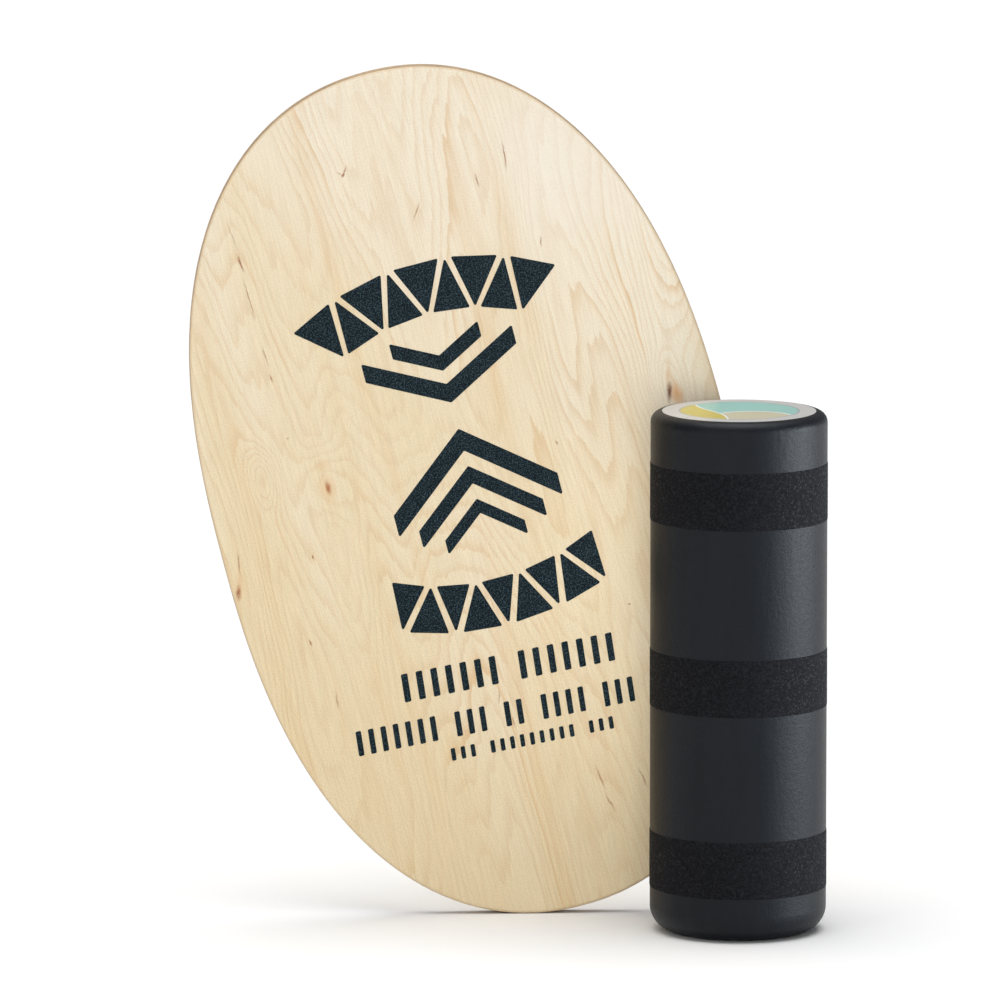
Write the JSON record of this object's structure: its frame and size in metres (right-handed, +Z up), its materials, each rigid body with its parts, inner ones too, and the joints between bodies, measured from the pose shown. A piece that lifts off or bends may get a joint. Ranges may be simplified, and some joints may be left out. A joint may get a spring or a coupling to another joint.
{
  "type": "balance board",
  "caption": "Oval plywood balance deck standing on its end behind its hollow plastic roller with rounded rims and coarse grip bands.",
  "frame": {"origin": "centre of the roller's base face, on the surface that roller and deck stand on", "axes": "+Z up along the roller's axis, +Y from the roller to the deck behind it, +X to the right across the printed face"},
  "size_m": [0.5526, 0.1747, 0.7509],
  "materials": {
    "face_veneer": "clear non-slip lacquer, satin",
    "cross_veneer": "sawn end grain, lacquered",
    "core_veneer": "sawn long grain, lacquered",
    "ink": "gritty screen ink",
    "roller_plastic": "satin moulded",
    "grip": "coarse mineral grit",
    "label": "laminated print"
  },
  "bodies": {
    "deck": {"ply_01": "face_veneer", "ply_02": "cross_veneer", "ply_03": "core_veneer", "ply_04": "cross_veneer", "ply_05": "core_veneer", "ply_06": "cross_veneer", "ply_07": "core_veneer", "ply_08": "cross_veneer", "ply_09": "core_veneer", "ply_10": "cross_veneer", "ply_11": "core_veneer", "ply_12": "cross_veneer", "ply_13": "face_veneer", "print_upper": "ink", "print_lower": "ink", "print_bars": "ink"},
    "roller": {"roller_shell": "roller_plastic", "vent_plug": "roller_plastic", "end_label": "label", "grip_band_lower": "grip", "grip_band_middle": "grip", "grip_band_upper": "grip"}
  },
  "joints": [
    {"name": "roller_spin", "type": "hinge", "parent": "deck", "child": "roller", "pos_m": [0, 0, 0], "axis": [0, 0, 1], "continuous": true}
  ]
}
